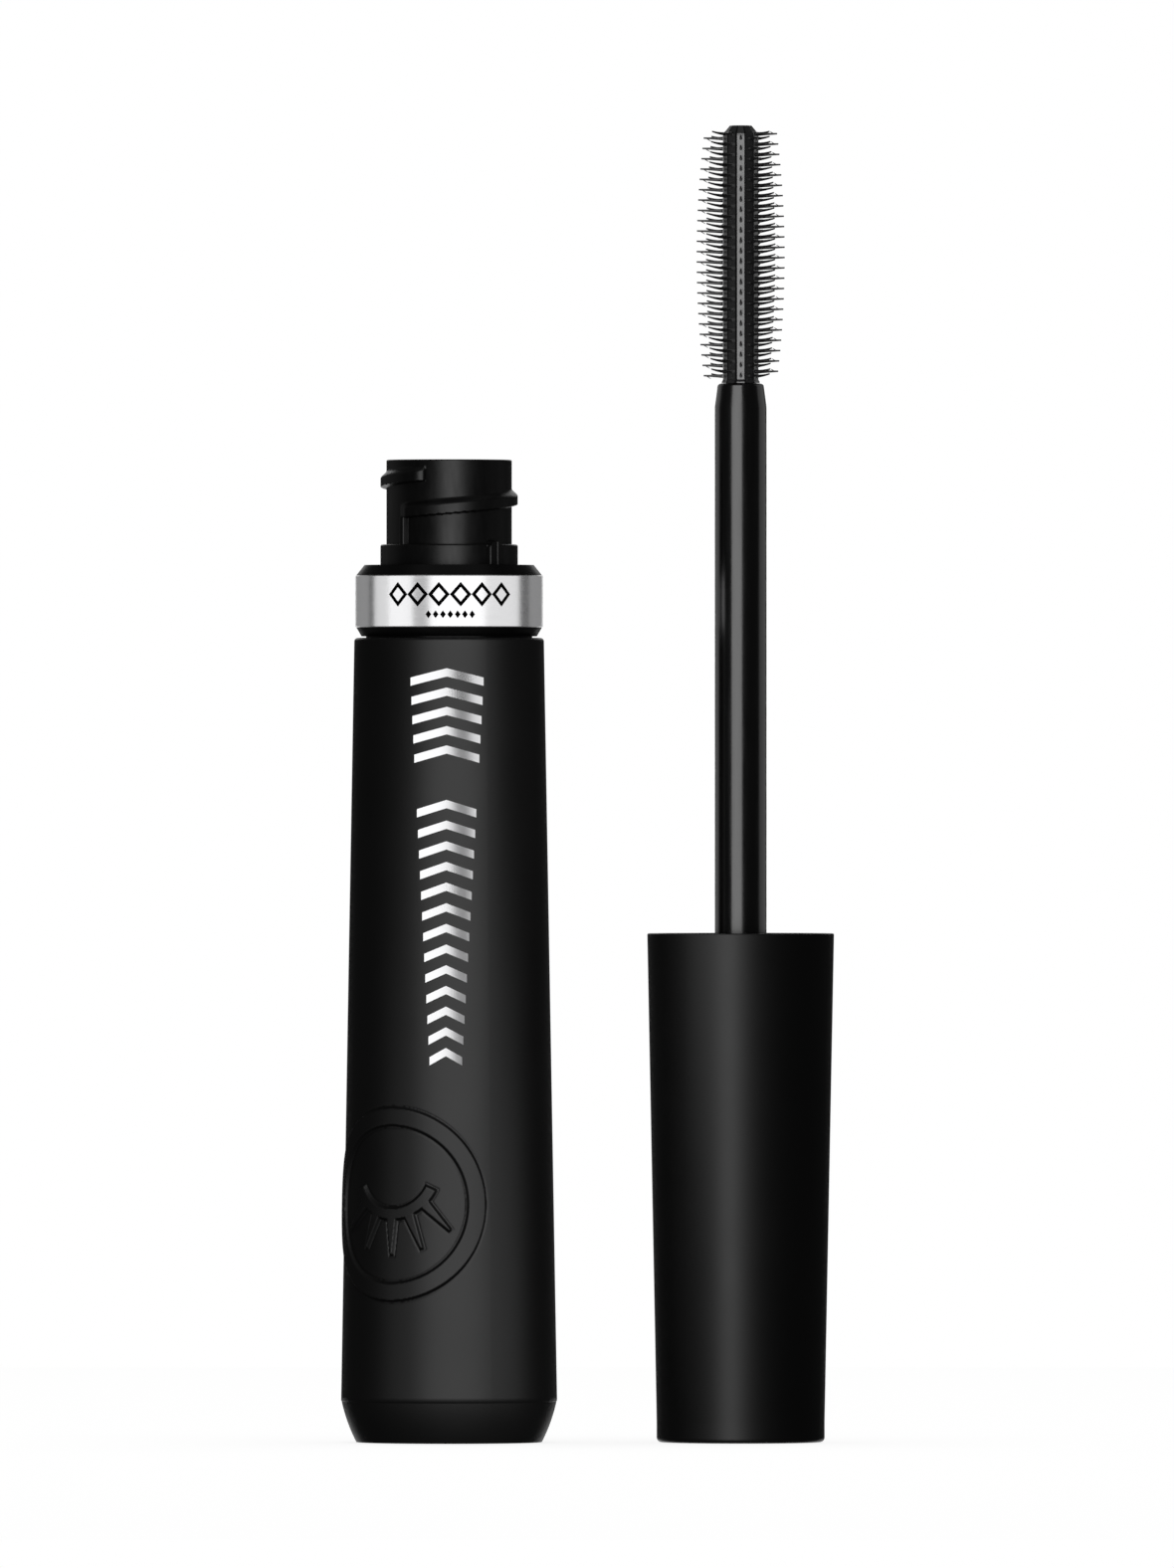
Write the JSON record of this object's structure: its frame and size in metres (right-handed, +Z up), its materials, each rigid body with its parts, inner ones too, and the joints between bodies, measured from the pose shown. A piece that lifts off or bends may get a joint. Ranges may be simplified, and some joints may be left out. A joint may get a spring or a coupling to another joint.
{
  "type": "mascara",
  "caption": "Open mascara: screw-neck bottle with wiper and vial, and a wand with cap, stem and bristle brush that turns over, slides in and screws shut.",
  "frame": {"origin": "centre of the bottle's base, on the surface it stands on", "axes": "+Z up along the bottle, +X towards the wand that stands beside it, -Y the decorated front"},
  "size_m": [0.048, 0.0211, 0.1284],
  "materials": {
    "soft_touch_black": "soft-touch matte lacquer",
    "collar_black": "satin",
    "neck_black": "semi-gloss moulded",
    "band_silver": "bright anodised",
    "stem_black": "gloss moulded",
    "brush_black": "moulded elastomer",
    "wiper_grey": "soft moulded",
    "gasket_grey": "matte",
    "insert_black": "moulded",
    "label_paper": "coated sticker",
    "paste_black": "wet paste"
  },
  "bodies": {
    "wand_stem": {"stem": "stem_black", "sealing_gasket": "gasket_grey"},
    "cap": {"outer_cap": "soft_touch_black", "inner_cap": "insert_black", "brush": "brush_black"},
    "film": {"paste_film": "paste_black"},
    "paste": {"mascara_fill": "paste_black"},
    "bottle": {"outer_shell": "soft_touch_black", "base_plug": "insert_black", "base_label": "label_paper", "inner_vial": "neck_black", "collar_ring": "collar_black", "collar_band": "band_silver", "wiper": "wiper_grey"}
  },
  "joints": [
    {"name": "cap_turn", "type": "hinge", "parent": "wand_stem", "child": "cap", "pos_m": [0.02842, 0, 0], "axis": [0, 0, 1], "range_deg": [0, 380]},
    {"name": "bottle_swing", "type": "hinge", "parent": "wand_stem", "child": "film", "pos_m": [0.01421, 0, 0.11355], "axis": [0, 1, 0], "range_deg": [0, 180]},
    {"name": "bottle_insert", "type": "slide", "parent": "film", "child": "paste", "axis": [0, 0, 1], "range_m": [0, 0.08836]},
    {"name": "screw_travel", "type": "slide", "parent": "paste", "child": "bottle", "axis": [0, 0, 1], "range_m": [0, 0.00359]}
  ],
  "couplings": [
    {"joint": "screw_travel", "follows": "cap_turn", "m_per_rad": 0.00054113}
  ]
}
